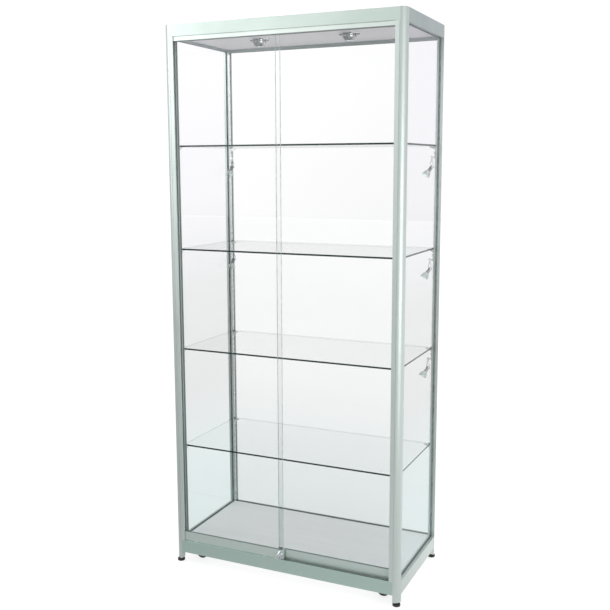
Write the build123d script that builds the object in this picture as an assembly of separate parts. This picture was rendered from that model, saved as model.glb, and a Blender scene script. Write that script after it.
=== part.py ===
from build123d import *
import os
from math import sin, cos, radians

# Freestanding retail showcase: anodised aluminium frame, glass on all sides, two sliding glass
# doors at the front, four glass shelves, downlights in the ceiling and small spotlights on the
# rear posts.  Millimetres.  X to the right seen from the front, Y to the rear, Z up, origin on
# the floor at the centre of the footprint, so the front face is at Y = -D/2.

# ---- driving dimensions -------------------------------------------------------------------
W, D, H = 900.0, 450.0, 2000.0        # overall
POST_R = 24.0                          # quarter-round corner of a post
FLANGE = 38.0                          # front flange reach from the outer side
JAMB_D = 31.0                          # depth of the door jamb behind the front face
ARM_D = 22.0                           # depth of the side and rear rails
LEG_Z = 13.0                           # underside of the legs
BASE_Z0, BASE_Z1 = 40.0, 88.0          # base rails
HEAD_Z = 1959.0                        # underside of the front header
SIDE_HEAD_Z = 1955.0                   # underside of the side headers
REAR_HEAD_Z = 1952.0                   # underside of the rear header
GLASS_IN = 13.0                        # pane centre to outer face
GLASS_T = 5.0
GROOVE = 5.6                           # groove width for a pane
DECK_T, DECK_Z = 16.0, 90.0            # deck thickness, top of deck
CEIL_Z0, CEIL_T = 1962.0, 8.0
SHELF_T = 6.0
SHELF_Z = [457.0, 831.0, 1205.0, 1579.0]   # mid-thickness heights
SHELF_X, SHELF_Y0, SHELF_Y1 = 427.0, -191.0, 204.0
DOOR_Y = {"left": -215.0, "right": -201.0}  # centre planes of the two door tracks
DOOR_X = {"left": (-421.0, 4.0), "right": (-20.0, 421.0)}
SHOE_Z0, SHOE_Z1, SHOE_T = 88.6, 123.0, 10.0
DOOR_GLASS_T = 5.0
DOOR_TOP = 1956.0
ROLLER_R, ROLLER_W, ROLLER_BORE, PIN_R = 8.0, 5.0, 1.55, 1.5
TRACK_FLOOR, TRACK_LAND = 82.0, 86.0   # running surface and lands of the bottom track
TRACK_TOP_Z = 1944.0                   # underside of the top track
LOCK_X, LOCK_Z = -7.0, 106.0
CASTOR_X, CASTOR_Y, CASTOR_TRAIL, CASTOR_R = 360.0, 161.0, 12.0, 24.0
FOOT_IN = 13.0
FOOT_R = 14.0
STEM_R, STEM_BORE = 4.0, 4.05
LIGHT_X, LIGHT_Y = 175.0, -15.0
BALL_R, BALL_Z = 25.0, 1955.0
# spotlights: name, side, height of the bracket
LAMPS = [("lamp_r_top", 1, 1545.0), ("lamp_r_mid", 1, 1171.0), ("lamp_r_low", 1, 797.0),
         ("lamp_l_top", -1, 1545.0), ("lamp_l_mid", -1, 1171.0)]
LAMP_X, LAMP_Y = 415.0, 194.0          # swivel axis of a spotlight arm
LEAN = 38.0                            # rest lean of the head, degrees
AIM = {1: -45.0, -1: 8.0}              # rest swivel of the right and left arms, degrees

X0, X1, Y0, Y1 = -W / 2, W / 2, -D / 2, D / 2
os.makedirs("parts", exist_ok=True)


def bx(x0, x1, y0, y1, z0, z1):
    return Pos((x0 + x1) / 2, (y0 + y1) / 2, (z0 + z1) / 2) * Box(abs(x1 - x0), abs(y1 - y0), abs(z1 - z0))


def cyl(p, axis, r, length):
    """Cylinder starting at p and running along the named axis."""
    rot = {"z": Rot(0, 0, 0), "x": Rot(0, 90, 0), "y": Rot(-90, 0, 0)}[axis]
    return Pos(*p) * rot * Cylinder(r, length, align=(Align.CENTER, Align.CENTER, Align.MIN))


def save(shape, name, count=1):
    solids = shape.solids() if hasattr(shape, "solids") else ShapeList(shape)
    assert len(solids) == count, (name, len(solids))
    out = solids[0] if count == 1 else Compound(children=list(solids))
    out.label = name
    export_step(out, "parts/" + name + ".step")
    return out


def mx(s):
    return mirror(s, about=Plane.YZ)


def my(s):
    return mirror(s, about=Plane.XZ)


# ---- corner posts --------------------------------------------------------------------------
def quarter(z0, z1):
    c = Pos(X0 + POST_R, Y0 + POST_R, (z0 + z1) / 2) * Cylinder(POST_R, z1 - z0)
    return c & bx(X0, X0 + POST_R, Y0, Y0 + POST_R, z0, z1)


def pane_groove_y(z0, z1, ya, yb):
    """Groove for a side pane, cut along Y."""
    return bx(X0 + GLASS_IN - GROOVE / 2, X0 + GLASS_IN + GROOVE / 2, ya, yb, z0, z1)


def front_post():
    p = quarter(LEG_Z, H)
    # jamb: a grooved block that takes the edges of both doors
    p += bx(X0 + POST_R, X0 + FLANGE, Y0, Y0 + JAMB_D, BASE_Z1, TRACK_TOP_Z)
    p += bx(X0 + POST_R, X0 + FLANGE, Y0, Y0 + 4.0, TRACK_TOP_Z, HEAD_Z)
    for y in DOOR_Y.values():
        p -= bx(X0 + POST_R + 1.5, X0 + FLANGE, y - 5.5, y + 5.5, BASE_Z1, TRACK_TOP_Z)
    # groove in the flat rear face for the side pane
    p -= pane_groove_y(BASE_Z1 - 7.0, SIDE_HEAD_Z + 9.0, Y0 + POST_R - 6.0, Y0 + POST_R)
    # shadow line where the round meets the flat front
    p -= bx(X0 + 22.4, X0 + 23.6, Y0, Y0 + 1.2, BASE_Z1, HEAD_Z)
    return p


def rear_post():
    p = my(quarter(LEG_Z, H))
    p -= pane_groove_y(BASE_Z1 - 7.0, SIDE_HEAD_Z + 9.0, Y1 - POST_R, Y1 - POST_R + 6.0)
    p -= bx(X0 + POST_R - 6.0, X0 + POST_R, Y1 - GLASS_IN - GROOVE / 2, Y1 - GLASS_IN + GROOVE / 2, BASE_Z1 - 7.0, REAR_HEAD_Z + 9.0)
    return p


stem_top = 80.0
stem_holes = {(sx, sy): cyl((sx * (X1 - FOOT_IN), sy * (Y1 - FOOT_IN), LEG_Z - 1), "z", STEM_BORE, stem_top - LEG_Z + 1)
              for sx in (-1, 1) for sy in (-1, 1)}
fp, rp = front_post(), rear_post()
save(fp - stem_holes[(-1, -1)], "post_front_left")
save(mx(fp) - stem_holes[(1, -1)], "post_front_right")
save(rp - stem_holes[(-1, 1)], "post_rear_left")
save(mx(rp) - stem_holes[(1, 1)], "post_rear_right")

# ---- base frame ----------------------------------------------------------------------------
xi, yi = X0 + POST_R, Y0 + POST_R          # inner faces of the quarter-rounds (negative side)
front = bx(xi, -xi, Y0, Y0 + 3.0, BASE_Z0, BASE_Z1)               # face with the front lip
front += bx(xi, -xi, Y0, Y0 + 31.0, BASE_Z0, BASE_Z0 + 4.0)       # bottom flange
front += bx(xi, -xi, Y0 + 28.0, Y0 + 31.0, BASE_Z0, BASE_Z1)      # rear wall
front += bx(xi, -xi, Y0, Y0 + 31.0, TRACK_FLOOR - 6.0, TRACK_FLOOR - 3.0)  # track bed
front += bx(xi, -xi, Y0 + 31.0, Y0 + 40.0, 70.0, DECK_Z - DECK_T)  # ledge for the deck
save(front, "base_rail_front")

track = bx(xi, -xi, Y0 + 3.0, Y0 + 28.0, TRACK_FLOOR - 3.0, TRACK_LAND)
for y in DOOR_Y.values():
    track -= bx(xi, -xi, y - 3.2, y + 3.2, TRACK_FLOOR, TRACK_LAND)   # roller grooves
track += bx(xi, -xi, Y0 + 16.2, Y0 + 17.8, TRACK_LAND, BASE_Z1)   # fin between the two runs
save(track, "door_track_bottom")

rear = bx(xi, -xi, Y1 - ARM_D, Y1, BASE_Z0, BASE_Z1) - bx(xi, -xi, Y1 - ARM_D + 2.5, Y1 - 2.5, BASE_Z0 + 2.5, 74.0)
rear -= bx(xi, -xi, Y1 - GLASS_IN - GROOVE / 2, Y1 - GLASS_IN + GROOVE / 2, 80.0, BASE_Z1)
rear += bx(xi, -xi, Y1 - ARM_D - 9.0, Y1 - ARM_D, 70.0, DECK_Z - DECK_T)
save(rear, "base_rail_rear")

side = bx(X0, X0 + ARM_D, yi, -yi, BASE_Z0, BASE_Z1) - bx(X0 + 2.5, X0 + ARM_D - 2.5, yi, -yi, BASE_Z0 + 2.5, 74.0)
side -= pane_groove_y(80.0, BASE_Z1, yi, -yi)
side += bx(X0 + ARM_D, X0 + ARM_D + 9.0, Y0 + 40.0, Y1 - ARM_D - 9.0, 70.0, DECK_Z - DECK_T)
save([side.solid(), mx(side).solid()], "base_rails_side", 2)

deck = bx(X0 + ARM_D, -(X0 + ARM_D), Y0 + 31.5, Y1 - ARM_D - 0.5, DECK_Z - DECK_T, DECK_Z)
for sx in (-1, 1):
    # the deck is notched round the posts
    deck -= bx(sx * X1, sx * (X1 - POST_R - 0.5), Y1 - POST_R - 0.5, Y1, 0, 200)
save(deck, "deck")

# ---- header --------------------------------------------------------------------------------
head = bx(xi, -xi, Y0, Y0 + 3.0, HEAD_Z, H)                       # front fascia
head += bx(xi, -xi, Y0, Y0 + POST_R, H - 3.0, H)
head += bx(xi, -xi, Y0 + POST_R - 3.0, Y0 + POST_R, CEIL_Z0 + CEIL_T + 8, H)
head += bx(xi, -xi, Y0, Y0 + POST_R, CEIL_Z0 + CEIL_T + 8, CEIL_Z0 + CEIL_T + 11)
save(head, "header_front")
rh = bx(xi, -xi, Y1 - ARM_D, Y1, REAR_HEAD_Z, H) - bx(xi, -xi, Y1 - ARM_D + 2.5, Y1 - 2.5, 1966.0, H - 2.5)
rh -= bx(xi, -xi, Y1 - GLASS_IN - GROOVE / 2, Y1 - GLASS_IN + GROOVE / 2, REAR_HEAD_Z, REAR_HEAD_Z + 9.0)
save(rh, "header_rear")
sh = bx(X0, X0 + ARM_D, yi, -yi, SIDE_HEAD_Z, H) - bx(X0 + 2.5, X0 + ARM_D - 2.5, yi, -yi, 1968.0, H - 2.5)
sh -= pane_groove_y(SIDE_HEAD_Z, SIDE_HEAD_Z + 9.0, yi, -yi)
save([sh.solid(), mx(sh).solid()], "headers_side", 2)

# the top track hangs under the fascia: two downward-open runs
tt = bx(xi, -xi, Y0 + 4.0, Y0 + 31.0, TRACK_TOP_Z, CEIL_Z0 + CEIL_T + 8)
for y in DOOR_Y.values():
    tt -= bx(xi, -xi, y - 3.2, y + 3.2, TRACK_TOP_Z, DOOR_TOP + 4.0)
save(tt, "door_track_top")

ceil = bx(X0 + ARM_D, -(X0 + ARM_D), Y0 + 31.0, Y1 - ARM_D, CEIL_Z0, CEIL_Z0 + CEIL_T)
for sx in (-1, 1):
    ceil -= cyl((sx * LIGHT_X, LIGHT_Y, CEIL_Z0 - 1), "z", 31.0, CEIL_T + 2)
    ceil -= bx(sx * X1, sx * (X1 - POST_R), Y1 - POST_R, Y1, 0, H)    # notches for the rear posts
save(ceil, "ceiling_panel")
save(bx(X0 + ARM_D, -(X0 + ARM_D), Y0 + POST_R, Y1 - ARM_D, H - 6.0, H - 1.0)
     - bx(X0, xi, Y0, yi, 0, H) - bx(-xi, X1, Y0, yi, 0, H) - bx(X0, xi, -yi, Y1, 0, H) - bx(-xi, X1, -yi, Y1, 0, H),
     "top_panel")

# ---- fixed glass ---------------------------------------------------------------------------
pane = bx(X0 + GLASS_IN - GLASS_T / 2, X0 + GLASS_IN + GLASS_T / 2, Y0 + POST_R - 5.0, Y1 - POST_R + 5.0, 81.5, SIDE_HEAD_Z + 8.0)
save([pane.solid(), mx(pane).solid()], "side_glass", 2)
xb = X1 - POST_R + 5.0
back = bx(-xb, xb, Y1 - GLASS_IN - GLASS_T / 2, Y1 - GLASS_IN + GLASS_T / 2, 81.5, REAR_HEAD_Z + 8.0)
save(back, "back_glass")

# ---- shelves, slotted standards, clips ------------------------------------------------------
STD_T, STD_W = 1.2, 8.0
STD_Z0, STD_Z1 = DECK_Z, TRACK_TOP_Z
STD_X, STD_REAR_Y = 417.0, Y1 - POST_R + 4.2       # centre lines of the front and rear strips
n = int((STD_Z1 - STD_Z0 - 30) // 22)
slot_z = [STD_Z0 + 18 + 22 * k for k in range(n)]
# rear strips lie on the posts' inner faces, front strips behind the door jambs
rear_strip = bx(X1 - POST_R, X1 - POST_R - STD_T, STD_REAR_Y - STD_W / 2, STD_REAR_Y + STD_W / 2, STD_Z0, STD_Z1)
rear_strip -= Compound(children=[bx(X1, X1 - 40.0, STD_REAR_Y - 1.5, STD_REAR_Y + 1.5, z, z + 12) for z in slot_z])
front_strip = bx(STD_X - STD_W / 2, STD_X + STD_W / 2, Y0 + JAMB_D, Y0 + JAMB_D + STD_T, STD_Z0, STD_Z1)
front_strip -= Compound(children=[bx(STD_X - 1.5, STD_X + 1.5, Y0, Y0 + 60, z, z + 12) for z in slot_z])
standards = [rear_strip, front_strip]
standards += [mx(s) for s in standards]
save([s.solid() for s in standards], "shelf_standards", 4)

for i, z in enumerate(SHELF_Z):
    s = bx(-SHELF_X, SHELF_X, SHELF_Y0, SHELF_Y1, z - SHELF_T / 2, z + SHELF_T / 2)
    for sx in (-1, 1):
        # small corner cut-outs so the sheet passes the rear posts
        s -= bx(sx * (X1 - POST_R - 4.5), sx * X1, Y1 - POST_R - 2.5, Y1, 0, H)
    save(s, "shelf_%d" % (i + 1))

clips = []
for z in SHELF_Z:
    zb = z - SHELF_T / 2
    xs, y = X1 - POST_R - STD_T, STD_REAR_Y
    c = bx(xs, xs - 2.0, y - 3.6, y + 3.6, zb - 14.0, zb)              # plate on the strip
    c += bx(xs, xs - 22.0, y - 6.0, y + 3.6, zb - 3.0, zb)             # tongue under the glass
    c += extrude(Plane.XZ.offset(-(y + 1.0)) * Polygon((xs - 2.0, zb - 3.0), (xs - 20.0, zb - 3.0), (xs - 2.0, zb - 12.0), align=None), 2.0)
    ys = Y0 + JAMB_D + STD_T
    g = bx(STD_X - 3.6, STD_X + 3.6, ys, ys + 2.0, zb - 14.0, zb)
    g += bx(STD_X - 3.6, STD_X + 3.6, ys, ys + 22.0, zb - 3.0, zb)
    g += extrude(Plane.YZ.offset(STD_X - 1.0) * Polygon((ys + 2.0, zb - 3.0), (ys + 20.0, zb - 3.0), (ys + 2.0, zb - 12.0), align=None), 2.0)
    for part in (c.solid(), g.solid()):
        clips += [part, mx(part).solid()]
save(clips, "shelf_clips", 16)

# ---- sliding doors ---------------------------------------------------------------------------
ROLL_Z = TRACK_FLOOR + 0.05 + ROLLER_R
for name in ("left", "right"):
    y, (xa, xb) = DOOR_Y[name], DOOR_X[name]
    shoe = bx(xa, xb, y - SHOE_T / 2, y + SHOE_T / 2, SHOE_Z0, SHOE_Z1)
    shoe -= bx(xa, xb, y - DOOR_GLASS_T / 2 - 0.1, y + DOOR_GLASS_T / 2 + 0.1, 106.0, SHOE_Z1)
    rx = (xa + 55.0, xb - 75.0)
    for k, x in enumerate(rx):
        shoe -= bx(x - 11.0, x + 11.0, y - ROLLER_W / 2 - 0.5, y + ROLLER_W / 2 + 0.5, SHOE_Z0, 101.0)
        roller = cyl((x, y - ROLLER_W / 2, ROLL_Z), "y", ROLLER_R, ROLLER_W)
        roller -= cyl((x, y - ROLLER_W, ROLL_Z), "y", ROLLER_BORE, ROLLER_W * 2)
        save(roller, "roller_%s_%s" % (name, "ab"[k]))
        # the axle is riveted into the shoe's cheeks
        shoe += cyl((x, y - SHOE_T / 2, ROLL_Z), "y", PIN_R, SHOE_T)
    glass_edge = {"left": (xa, xb), "right": (xa, xb)}[name]
    if name == "left":
        # pocket through the shoe for the lock barrel
        shoe -= cyl((LOCK_X, y - SHOE_T / 2 - 1, LOCK_Z), "y", 9.05, SHOE_T + 2)
        shoe += bx(xb, xb + 3.0, y - SHOE_T / 2, y + SHOE_T / 2, SHOE_Z0, SHOE_Z1 + 6.0)   # end cap
    else:
        # hole that receives the lock's bolt
        shoe -= cyl((LOCK_X, y - SHOE_T / 2 - 1, LOCK_Z), "y", 3.6, 8.0)
        shoe += bx(xb, xb + 2.0, y - SHOE_T / 2, y + SHOE_T / 2, SHOE_Z0, SHOE_Z1)
    save(shoe, "door_%s_shoe" % name)
    g = bx(xa, xb, y - DOOR_GLASS_T / 2, y + DOOR_GLASS_T / 2, 106.0, DOOR_TOP)
    if name == "left":
        g -= cyl((LOCK_X, y - 10, LOCK_Z), "y", 12.0, 20)
    else:
        g -= cyl((LOCK_X, y - 10, LOCK_Z), "y", 6.0, 20)
    save(g, "door_%s_glass" % name)

yl = DOOR_Y["left"]
barrel = cyl((LOCK_X, yl - SHOE_T / 2 - 13.0, LOCK_Z), "y", 10.5, 13.0)     # housing in front of the shoe
barrel += cyl((LOCK_X, yl - SHOE_T / 2 - 0.01, LOCK_Z), "y", 9.0, SHOE_T + 0.01)   # shank in the shoe
barrel += cyl((LOCK_X, yl - SHOE_T / 2 - 3.0, LOCK_Z), "y", 12.5, 3.0)      # flange
barrel -= cyl((LOCK_X, yl - SHOE_T / 2 - 14.0, LOCK_Z), "y", 8.06, SHOE_T + 11.0)
barrel -= cyl((LOCK_X, yl, LOCK_Z), "y", 3.1, 20.0)
save(barrel, "lock_barrel")
plunger = cyl((LOCK_X, yl - SHOE_T / 2 - 25.0, LOCK_Z), "y", 8.0, 21.0)
plunger += cyl((LOCK_X, yl - SHOE_T / 2 - 5.0, LOCK_Z), "y", 3.0, 14.0)     # bolt
plunger -= bx(LOCK_X - 0.7, LOCK_X + 0.7, yl - SHOE_T / 2 - 26.0, yl - SHOE_T / 2 - 17.0, LOCK_Z - 4.0, LOCK_Z + 4.0)  # key slot
save(plunger, "lock_plunger")

# ---- castors ---------------------------------------------------------------------------------
def castor():
    """Plate, fork and wheel of one swivel castor, pivot on the Z axis, trailing towards -Y."""
    wy = -CASTOR_TRAIL
    pl = bx(-21, 21, -21, 21, 71.0, DECK_Z - DECK_T)
    pl += cyl((0, 0, 66.0), "z", 17.0, 5.0)
    for dx in (-15, 15):
        for dy in (-16, 16):
            pl += cyl((dx, dy, 69.5), "z", 3.5, 1.5)             # screw heads
    pl -= cyl((0, 0, 60.0), "z", 4.05, 12.0)
    fk = cyl((0, 0, 62.0), "z", 15.0, 3.6)
    fk += cyl((0, 0, 62.0), "z", 4.0, 9.5)
    fk += bx(-12.5, 12.5, wy - 3.0, 11.0, 59.5, 62.5)
    for s in (-1, 1):
        fk += extrude(Plane.YZ.offset(s * 12.5 - (3.0 if s > 0 else 0.0)) * Polygon((wy - 7.0, 19.0), (wy + 7.0, 19.0), (11.0, 61.0), (wy - 3.0, 61.0), align=None), 3.0)
    fk += cyl((-12.0, wy, CASTOR_R), "x", 2.95, 24.0)            # axle
    wh = cyl((-8.5, wy, CASTOR_R), "x", CASTOR_R, 17.0)
    wh = chamfer(wh.edges().filter_by(GeomType.CIRCLE), 2.5)
    wh -= cyl((-12, wy, CASTOR_R), "x", 3.0, 24.0)
    return pl.solid(), fk.solid(), wh.solid()


pl, fork, wheel = castor()
plates = []
for name, sx, sy in (("fl", -1, -1), ("fr", 1, -1), ("rl", -1, 1), ("rr", 1, 1)):
    place = Pos(sx * CASTOR_X, sy * CASTOR_Y, 0) * Rot(0, 0, 90 * sx)    # at rest the wheels trail outwards
    plates.append((place * pl).solid())
    save(place * fork, "castor_fork_" + name)
    save(place * wheel, "castor_wheel_" + name)
save(plates, "castor_plates", 4)

# ---- levelling feet ----------------------------------------------------------------------------
for name, sx, sy in (("fl", -1, -1), ("fr", 1, -1), ("rl", -1, 1), ("rr", 1, 1)):
    fx, fy = sx * (X1 - FOOT_IN), sy * (Y1 - FOOT_IN)
    f = cyl((fx, fy, 0), "z", FOOT_R, 9.5)
    rims = f.edges().filter_by(GeomType.CIRCLE).sort_by(Axis.Z)
    f = fillet([rims[0]], 2.0)
    f = fillet(f.edges().filter_by(GeomType.CIRCLE).sort_by(Axis.Z)[-1:], 3.5)
    f += extrude(Pos(fx, fy, 9.5) * RegularPolygon(6.5, 6), 2.3)     # hexagon for the spanner
    f += cyl((fx, fy, 9.5), "z", STEM_R, 50.0)
    save(f, "foot_" + name)

# ---- downlights ----------------------------------------------------------------------------------
bezels = []
for name, sx in (("left", -1), ("right", 1)):
    cx, cy = sx * LIGHT_X, LIGHT_Y
    b = cyl((cx, cy, CEIL_Z0 - 4.0), "z", 38.0, 4.0)
    b = chamfer(b.edges().filter_by(GeomType.CIRCLE).sort_by(Axis.Z)[:1], 2.0)
    b += cyl((cx, cy, CEIL_Z0 - 0.5), "z", 30.5, 14.0)
    b -= Pos(cx, cy, BALL_Z) * Sphere(BALL_R + 0.3)
    b -= cyl((cx, cy, BALL_Z + 5.0), "z", 24.8, 40.0)
    b -= cyl((cx, cy, BALL_Z - 20.0), "z", BALL_R + 0.3, 20.0)
    for s in (-1, 1):
        # lugs that carry the ball's pivot pins
        b += bx(cx + s * 26.0, cx + s * 30.5, cy - 4.0, cy + 4.0, BALL_Z - 4.0, CEIL_Z0 - 4.0)
    b -= cyl((cx - 40, cy, BALL_Z), "x", 1.55, 80.0)
    bezels.append(b.solid())
    e = Pos(cx, cy, BALL_Z) * Sphere(BALL_R)
    e -= bx(cx - 30, cx + 30, cy - 30, cy + 30, BALL_Z - 40, BALL_Z - 19.0)   # flat snout
    e -= bx(cx - 30, cx + 30, cy - 30, cy + 30, BALL_Z + 14.0, BALL_Z + 40)
    e -= cyl((cx, cy, BALL_Z - 20.0), "z", 14.0, 16.0)                        # lamp recess
    for s in (-1, 1):
        e += cyl((cx + (22.0 if s > 0 else -30.0), cy, BALL_Z), "x", 1.5, 8.0)
    save(e, "eyeball_" + name)
save(bezels, "downlight_bezels", 2)

# ---- spotlights on the rear posts -------------------------------------------------------------------
brackets = []
for name, s, zb in LAMPS:
    ax, ay = s * LAMP_X, LAMP_Y
    # bracket: a plate on the post's standard with an eye for the swivel
    xs = s * (X1 - POST_R - STD_T)
    ys = STD_REAR_Y
    br = bx(xs, xs - s * 2.0, ys - 3.6, ys + 3.6, zb - 14.0, zb + 14.0)
    br += cyl((min(xs - s * 2.0, xs - s * 4.0), ys, zb + 9.0), "x", 3.2, 2.0)       # screw head
    br += bx(xs, xs - s * 4.0, ay - 3.0, ys + 3.6, zb - 9.0, zb - 6.0)
    br += bx(xs, ax, ay - 3.0, ay + 3.0, zb - 9.0, zb - 6.0)
    br += cyl((ax, ay, zb - 9.0), "z", 5.0, 3.0)
    br -= cyl((ax, ay, zb - 12.0), "z", 2.05, 10.0)
    brackets.append(br.solid())
    # arm: pivot pin, collar, drop rod and a fork whose ears carry the head
    zf = zb - 42.0                                                                   # tilt axis height
    arm = cyl((0, 0, zb - 12.0), "z", 2.0, 8.0)
    arm += cyl((0, 0, zb - 6.0 + 0.1), "z", 4.0, 2.5)
    arm += cyl((0, 0, zf + 10.5), "z", 3.2, zb - 9.1 - zf - 10.5)
    arm += bx(-8.5, 8.5, -4.0, 4.0, zf + 8.5, zf + 11.5)
    for q in (-1, 1):
        arm += bx(q * 8.5, q * 6.5, -4.0, 4.0, zf, zf + 9.5)
        arm += cyl((min(q * 8.5, q * 6.5), 0, zf), "x", 4.0, 2.0)
    arm += cyl((-8.0, 0, zf), "x", 1.5, 16.0)
    save(Pos(ax, ay, 0) * Rot(0, 0, AIM[s]) * arm, name + "_arm")
    # head: socket barrel on the tilt pin, flaring into the reflector cup, open at the bottom
    hd = cyl((0, 0, -22.0), "z", 6.0, 26.0)
    hd += Pos(0, 0, -28.0) * Cone(14.5, 6.0, 18.0)
    hd += cyl((0, 0, -40.0), "z", 14.5, 3.5)
    hd += Pos(0, 0, -37.0) * Cylinder(14.5, 0.6)
    cup = Pos(0, 0, -32.0) * Cone(13.0, 5.0, 18.0)
    hd -= cup
    hd -= cyl((0, 0, -41.5), "z", 13.0, 1.0 + 4.5)
    hd -= cyl((-20, 0, 0), "x", 1.55, 40.0)
    hd = Pos(ax, ay, zf) * Rot(0, 0, AIM[s]) * Rot(-LEAN, 0, 0) * hd
    save(hd, name + "_head")
save(brackets, "lamp_brackets", 5)
print("done", len(os.listdir("parts")))
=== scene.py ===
"""Glass display cabinet on castors: aluminium frame, sliding doors, four shelves, spotlights.

It stands on z = 0, centred on the origin, 900 mm wide (x) and 450 mm deep (y), front at -y.
Piece dimensions are in mm and turned into metres by MM; shaders, lights and camera use metres.
"""
import math

import bpy
import bmesh
from mathutils import Vector, Matrix

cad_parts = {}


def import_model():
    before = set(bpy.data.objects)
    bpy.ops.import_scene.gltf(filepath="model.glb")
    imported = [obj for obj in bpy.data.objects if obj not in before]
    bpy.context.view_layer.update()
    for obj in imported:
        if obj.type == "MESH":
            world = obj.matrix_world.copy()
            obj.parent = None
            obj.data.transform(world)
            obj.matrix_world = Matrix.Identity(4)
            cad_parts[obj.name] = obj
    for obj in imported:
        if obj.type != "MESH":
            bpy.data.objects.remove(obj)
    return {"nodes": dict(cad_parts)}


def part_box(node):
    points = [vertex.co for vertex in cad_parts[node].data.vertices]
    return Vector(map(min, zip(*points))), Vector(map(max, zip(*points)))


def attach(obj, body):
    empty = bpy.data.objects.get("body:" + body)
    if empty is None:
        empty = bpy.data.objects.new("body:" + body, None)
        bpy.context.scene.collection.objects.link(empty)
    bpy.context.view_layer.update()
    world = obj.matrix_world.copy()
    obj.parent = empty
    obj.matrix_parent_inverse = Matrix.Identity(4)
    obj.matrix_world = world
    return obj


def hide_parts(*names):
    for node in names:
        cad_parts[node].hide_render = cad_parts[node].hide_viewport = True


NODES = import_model()["nodes"]
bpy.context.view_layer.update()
scene = bpy.context.scene

MM = 0.001
HALF_WIDTH, HALF_DEPTH = 450.0, 225.0
CORNER_RADIUS = 24.0                # of the posts
TOP_FACE = 1999.0                   # height the top screws sit at
CORNERS = {"fl": (-1, -1), "fr": (1, -1), "rl": (-1, 1), "rr": (1, 1)}   # signs of x and y

MATERIALS = {}                      # filled by Material.finish, by name


# ------------------------------------------------------------------ node helpers
class Graph:
    """A cleared node tree with one output node, and short ways to add nodes."""

    def __init__(self, tree, output):
        self.tree = tree
        tree.nodes.clear()
        self.output = tree.nodes.new("ShaderNode" + output)

    def feed(self, socket, value):
        """Link a socket, or set a number, vector or RGB colour."""
        if isinstance(value, bpy.types.NodeSocket):
            self.tree.links.new(value, socket)
        elif socket.type == "RGBA":
            socket.default_value = (*value, 1)
        else:
            socket.default_value = value

    def node(self, kind, inputs=None, **settings):
        new = self.tree.nodes.new("ShaderNode" + kind)
        for name, value in settings.items():
            setattr(new, name, value)
        for key, value in (inputs or {}).items():
            self.feed(new.inputs[key], value)
        return new

    def axes(self, vector):
        """The x, y and z sockets of a vector."""
        return self.node("SeparateXYZ", {0: vector}).outputs

    def at_position(self, density):
        """World position scaled by one density, or by one per axis."""
        if not isinstance(density, tuple):
            density = (density,) * 3
        position = self.node("NewGeometry").outputs["Position"]
        return self.node("Mapping", {"Scale": density, "Vector": position}).outputs["Vector"]

    def noise(self, density, detail, roughness):
        return self.node("TexNoise", {"Vector": self.at_position(density), "Scale": 1.0,
                                      "Detail": detail, "Roughness": roughness}).outputs["Fac"]

    def ramp(self, fac, stops):
        """Colour ramp; each stop is (position, grey or RGB)."""
        node = self.node("ValToRGB", {"Fac": fac})
        elements = node.color_ramp.elements
        while len(elements) < len(stops):
            elements.new(0.5)
        for element, (position, colour) in zip(elements, stops):
            element.position = position
            rgb = (colour,) * 3 if isinstance(colour, (int, float)) else colour
            element.color = (*rgb, 1)
        return node.outputs["Color"]

    def tones(self, fac, base, dark, light, span=(0.3, 0.7)):
        """Ramp from base * dark to base * light over a span of fac."""
        return self.ramp(fac, [(span[0], shade(base, dark)), (span[1], shade(base, light))])

    def remap(self, value, source, target, curve="LINEAR"):
        """Map the source range (from, to) onto the target range."""
        return self.node("MapRange", {"From Min": source[0], "From Max": source[1],
                                      "To Min": target[0], "To Max": target[1],
                                      "Value": value}, interpolation_type=curve).outputs["Result"]

    def math(self, operation, *operands):
        return self.node("Math", dict(enumerate(operands)), operation=operation).outputs[0]

    def mix_colour(self, fac, first, second):
        # sockets 0, 6 and 7 and output 2 are the float factor and the colour pair
        return self.node("Mix", {0: fac, 6: first, 7: second}, data_type="RGBA").outputs[2]

    def mix_shader(self, fac, first, second):
        return self.node("MixShader", {0: fac, 1: first, 2: second}).outputs[0]

    def bump(self, height, strength, distance):
        return self.node("Bump", {"Strength": strength, "Distance": distance,
                                  "Height": height}).outputs["Normal"]

    def transparent(self, colour):
        return self.node("BsdfTransparent", {"Color": colour}).outputs[0]

    def emission(self, colour, strength):
        return self.node("Emission", {"Color": colour, "Strength": strength}).outputs[0]

    def principled(self, colour, roughness, metallic=0.0, normal=None, specular=0.5,
                   anisotropic=0.0):
        inputs = {"Base Color": colour, "Roughness": roughness, "Metallic": metallic,
                  "Specular IOR Level": specular, "Anisotropic": anisotropic}
        if normal is not None:
            inputs["Normal"] = normal
        return self.node("BsdfPrincipled", inputs).outputs[0]


class Material(Graph):
    def __init__(self, name):
        self.name = name
        self.material = bpy.data.materials.new(name)
        self.material.use_nodes = True
        super().__init__(self.material.node_tree, "OutputMaterial")

    def finish(self, shader):
        """Connect the surface and file the material under its name."""
        self.feed(self.output.inputs["Surface"], shader)
        MATERIALS[self.name] = self.material


def shade(colour, factor):
    return tuple(min(1.0, max(0.0, channel * factor)) for channel in colour)


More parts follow.
